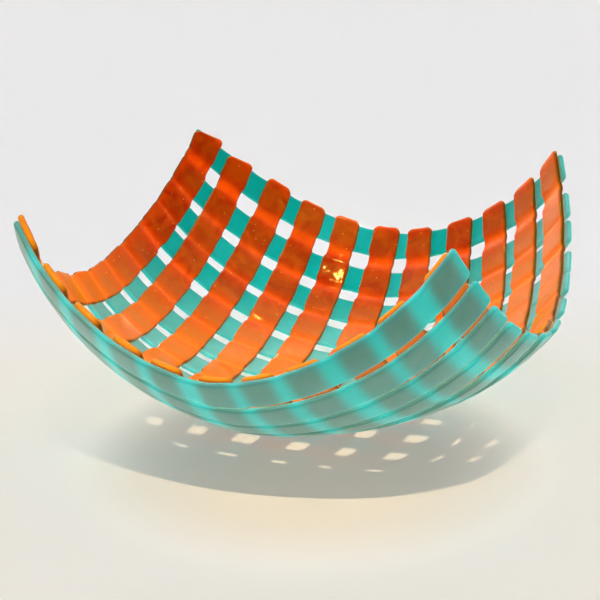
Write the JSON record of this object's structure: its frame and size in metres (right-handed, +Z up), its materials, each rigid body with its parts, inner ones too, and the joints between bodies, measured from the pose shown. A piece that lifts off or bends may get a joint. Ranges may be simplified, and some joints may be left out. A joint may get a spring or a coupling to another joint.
{
  "type": "lattice glass bowl",
  "caption": "Square kiln-formed glass bowl: orange strips laid across turquoise strips as an open lattice and slumped into a round bowl with four raised corners.",
  "frame": {"origin": "under the middle of the bowl's plan, on the surface that it stands on", "axes": "+Z up; the orange strips run along Y and the turquoise strips along X; +Y is the back"},
  "size_m": [0.2672, 0.266, 0.1249],
  "materials": {
    "orange_glass": "glossy, fire-polished",
    "turquoise_glass": "satin outside, glossy inside"
  },
  "bodies": {
    "root": {"orange_strip_01": "orange_glass", "orange_strip_02": "orange_glass", "orange_strip_03": "orange_glass", "orange_strip_04": "orange_glass", "orange_strip_05": "orange_glass", "orange_strip_06": "orange_glass", "orange_strip_07": "orange_glass", "orange_strip_08": "orange_glass", "orange_strip_09": "orange_glass", "orange_strip_10": "orange_glass", "orange_strip_11": "orange_glass", "turquoise_strip_01": "turquoise_glass", "turquoise_strip_02": "turquoise_glass", "turquoise_strip_03": "turquoise_glass", "turquoise_strip_04": "turquoise_glass", "turquoise_strip_05": "turquoise_glass", "turquoise_strip_06": "turquoise_glass", "turquoise_strip_07": "turquoise_glass", "turquoise_strip_08": "turquoise_glass", "turquoise_strip_09": "turquoise_glass", "turquoise_strip_10": "turquoise_glass", "turquoise_strip_11": "turquoise_glass", "turquoise_strip_12": "turquoise_glass", "turquoise_strip_13": "turquoise_glass"}
  },
  "joints": []
}
